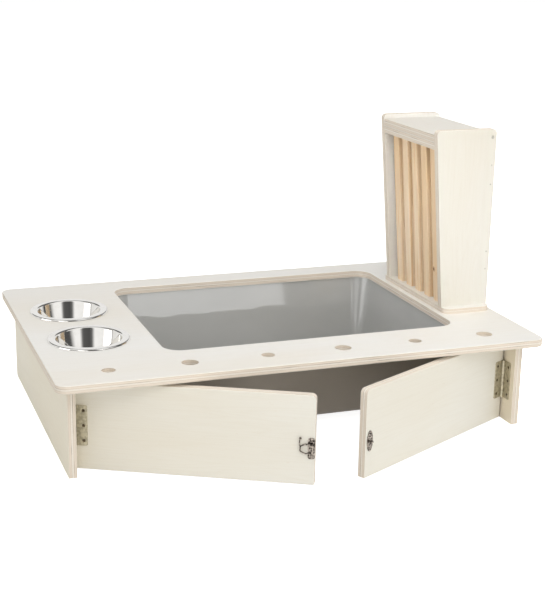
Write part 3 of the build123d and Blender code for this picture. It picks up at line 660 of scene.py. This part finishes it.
studio = {
    "floorColour": "#E2E1DE", "floorGlow": 0.9, "floorReach": 12.0, "sky": 0.6,
    "lamps": [
        # place, aimed at, size across and up, watts, spread, and whether glossy surfaces mirror it
        ((-0.6, -1.95, 1.9), (0, 0, 0.1), (1.2, 1.2), 14, 180, False),
        ((0.62, -2.2, 0.57), (0.1, 0, 0.1), (0.75, 0.5), 4.6, 180, True),
        ((1.5, -1.7, 1.5), (0, 0, 0.1), (0.9, 1.2), 4.3, 180, False),
        ((0.1, -0.5, 2.3), (-0.1, -0.1, 0.1), (1.6, 1.0), 11.5, 180, False),
        ((-1.35, -1.35, 0.8), (0.29, 0.07, 0.31), (0.3, 0.3), 0.1, 14, False),
    ],
    # what glossy surfaces see round the room, by turn from the back, clockwise, as a share of a full
    # turn: the brightness of the upper room, and of the low cards that stand round the table
    "upperRoom": [(0.0, 0.1), (0.2, 0.12), (0.207, 0.5), (0.218, 0.12), (0.28, 0.1), (0.3, 1.0),
                  (0.44, 1.0), (0.465, 0.2), (0.48, 0.1), (0.54, 0.08), (0.565, 0.15), (0.595, 1.0),
                  (0.745, 0.95), (0.77, 0.06), (0.8, 0.06), (0.815, 0.9), (0.86, 0.9), (0.88, 0.12),
                  (1.0, 0.1)],
    "lowCards": [(0.0, 0.02), (0.535, 0.02), (0.545, 0.55), (0.61, 0.6), (0.625, 0.05), (0.68, 0.05),
                 (0.69, 1.0), (0.77, 1.0), (0.78, 0.03), (0.84, 0.03), (0.85, 0.4), (0.88, 0.4),
                 (0.89, 0.02), (1.0, 0.02)],
    "cardStrength": 4.2, "backdrop": 0.9, "ceiling": 0.85,
    # heights and depths of a direction, from 0 to 1, between which one thing gives way to the next
    "cardTop": (0.34, 0.39), "ceilingEdge": (0.88, 0.94), "backdropEdge": (0.1, 0.3),
}


def makeFloor():
    mesh = bpy.data.meshes.new("studioFloor")
    reach = studio["floorReach"]
    mesh.from_pydata([(-reach, -reach, 0), (reach, -reach, 0), (reach, reach, 0), (-reach, reach, 0)], [],
                     [(0, 1, 2, 3)])
    floor = bpy.data.objects.new("studioFloor", mesh)
    bpy.context.scene.collection.objects.link(floor)
    material, tree = newMaterial("studioFloor")
    path = addNode(tree, "ShaderNodeLightPath").outputs
    seen = addNode(tree, "ShaderNodeMath", {0: path["Is Camera Ray"], 1: path["Is Glossy Ray"]},
                   operation="MAXIMUM")
    seen = addNode(tree, "ShaderNodeMath", {0: seen, 1: path["Is Transmission Ray"]}, operation="MAXIMUM")
    glow = addNode(tree, "ShaderNodeMath", {0: seen, 1: studio["floorGlow"]}, operation="MULTIPLY")
    paint = addNode(tree, "ShaderNodeBsdfDiffuse", {"Color": studio["floorColour"]})
    light = addNode(tree, "ShaderNodeEmission", {"Strength": glow})
    both = addNode(tree, "ShaderNodeAddShader", {0: paint, 1: light})
    addNode(tree, "ShaderNodeOutputMaterial", {"Surface": both})
    setMaterial(floor, material)


def makeSky():
    world = bpy.data.worlds.new("studioSky")
    world.use_nodes = True
    tree = world.node_tree
    tree.nodes.clear()
    direction = addNode(tree, "ShaderNodeTexCoord").outputs["Generated"]
    parts = addNode(tree, "ShaderNodeSeparateXYZ", {0: direction}).outputs
    turn = addNode(tree, "ShaderNodeMath", {0: parts["X"], 1: parts["Y"]}, operation="ARCTAN2")
    turn = addNode(tree, "ShaderNodeMath", {0: turn, 1: 2 * math.pi}, operation="DIVIDE")
    turn = addNode(tree, "ShaderNodeMath", {0: turn}, operation="FRACT")
    upper = addNode(tree, "ShaderNodeValToRGB", {"Fac": turn}, studio["upperRoom"])
    cards = addNode(tree, "ShaderNodeValToRGB", {"Fac": turn}, studio["lowCards"])
    cards = addNode(tree, "ShaderNodeVectorMath", {0: cards, "Scale": studio["cardStrength"]},
                    operation="SCALE")
    # 1 below the cards' tops, above the ceiling's edge and past the backdrop's, and 0 elsewhere
    within = {}
    for edge, along, before, past in (("cardTop", "Z", 1.0, 0.0), ("ceilingEdge", "Z", 0.0, 1.0),
                                      ("backdropEdge", "Y", 0.0, 1.0)):
        start, end = studio[edge]
        within[edge] = addNode(tree, "ShaderNodeMapRange", {"Value": parts[along], "From Min": start,
                                                            "From Max": end, "To Min": before,
                                                            "To Max": past})
    near = addNode(tree, "ShaderNodeMix", {0: within["backdropEdge"], 6: cards,
                                           7: grey(studio["backdrop"])}, data_type="RGBA")
    upper = addNode(tree, "ShaderNodeMix", {0: within["ceilingEdge"], 6: upper,
                                            7: grey(studio["ceiling"])}, data_type="RGBA")
    room = addNode(tree, "ShaderNodeMix", {0: within["cardTop"], 6: upper, 7: near}, data_type="RGBA")

    # the even sky lights the object, glossy surfaces see the room, and the camera sees plain white
    path = addNode(tree, "ShaderNodeLightPath").outputs
    seen = addNode(tree, "ShaderNodeMath", {0: path["Is Camera Ray"], 1: path["Is Transmission Ray"]},
                   operation="MAXIMUM")
    soft = addNode(tree, "ShaderNodeBackground", {"Color": "#FFFFFF", "Strength": studio["sky"]})
    mirrored = addNode(tree, "ShaderNodeBackground", {"Color": room})
    white = addNode(tree, "ShaderNodeBackground", {"Color": "#FFFFFF"})
    unseen = addNode(tree, "ShaderNodeMixShader", {0: path["Is Glossy Ray"], 1: soft, 2: mirrored})
    both = addNode(tree, "ShaderNodeMixShader", {0: seen, 1: unseen, 2: white})
    addNode(tree, "ShaderNodeOutputWorld", {"Surface": both})
    bpy.context.scene.world = world


def makeLamps():
    for count, (place, target, size, watts, spread, mirrored) in enumerate(studio["lamps"]):
        lamp = bpy.data.lights.new(f"softLamp{count}", "AREA")
        lamp.shape = "RECTANGLE"
        lamp.size, lamp.size_y = size
        lamp.energy = watts
        lamp.spread = math.radians(spread)
        obj = bpy.data.objects.new(f"softLamp{count}", lamp)
        obj.location = place
        obj.visible_glossy = mirrored
        obj.rotation_euler = (Vector(target) - Vector(place)).to_track_quat("-Z", "Y").to_euler()
        bpy.context.scene.collection.objects.link(obj)


# metres, degrees and, for the lens and its sensor, mm
camera = {"place": (-0.65694, -1.81952, 0.73455), "yaw": 20.03, "pitch": 15.88, "roll": 1.04,
          "lens": 84.63, "sensor": 36.0, "clip": (0.05, 60.0)}


def makeCamera():
    lens = bpy.data.cameras.new("camera")
    lens.sensor_fit = "HORIZONTAL"
    lens.sensor_width = camera["sensor"]
    lens.lens = camera["lens"]
    lens.clip_start, lens.clip_end = camera["clip"]
    yaw, pitch, roll = (math.radians(camera[angle]) for angle in ("yaw", "pitch", "roll"))
    ahead = Vector((math.sin(yaw) * math.cos(pitch), math.cos(yaw) * math.cos(pitch), -math.sin(pitch)))
    right = Vector((math.cos(yaw), -math.sin(yaw), 0))
    up = right.cross(ahead)
    tiltedRight = math.cos(roll) * right + math.sin(roll) * up
    tiltedUp = -math.sin(roll) * right + math.cos(roll) * up
    axes = Matrix((tiltedRight, tiltedUp, -ahead)).transposed()
    obj = bpy.data.objects.new("camera", lens)
    obj.matrix_world = Matrix.Translation(camera["place"]) @ axes.to_4x4()
    bpy.context.scene.collection.objects.link(obj)
    bpy.context.scene.camera = obj


print("studio")
makeFloor()
makeSky()
makeLamps()
makeCamera()
bpy.context.scene.view_settings.view_transform = "Standard"
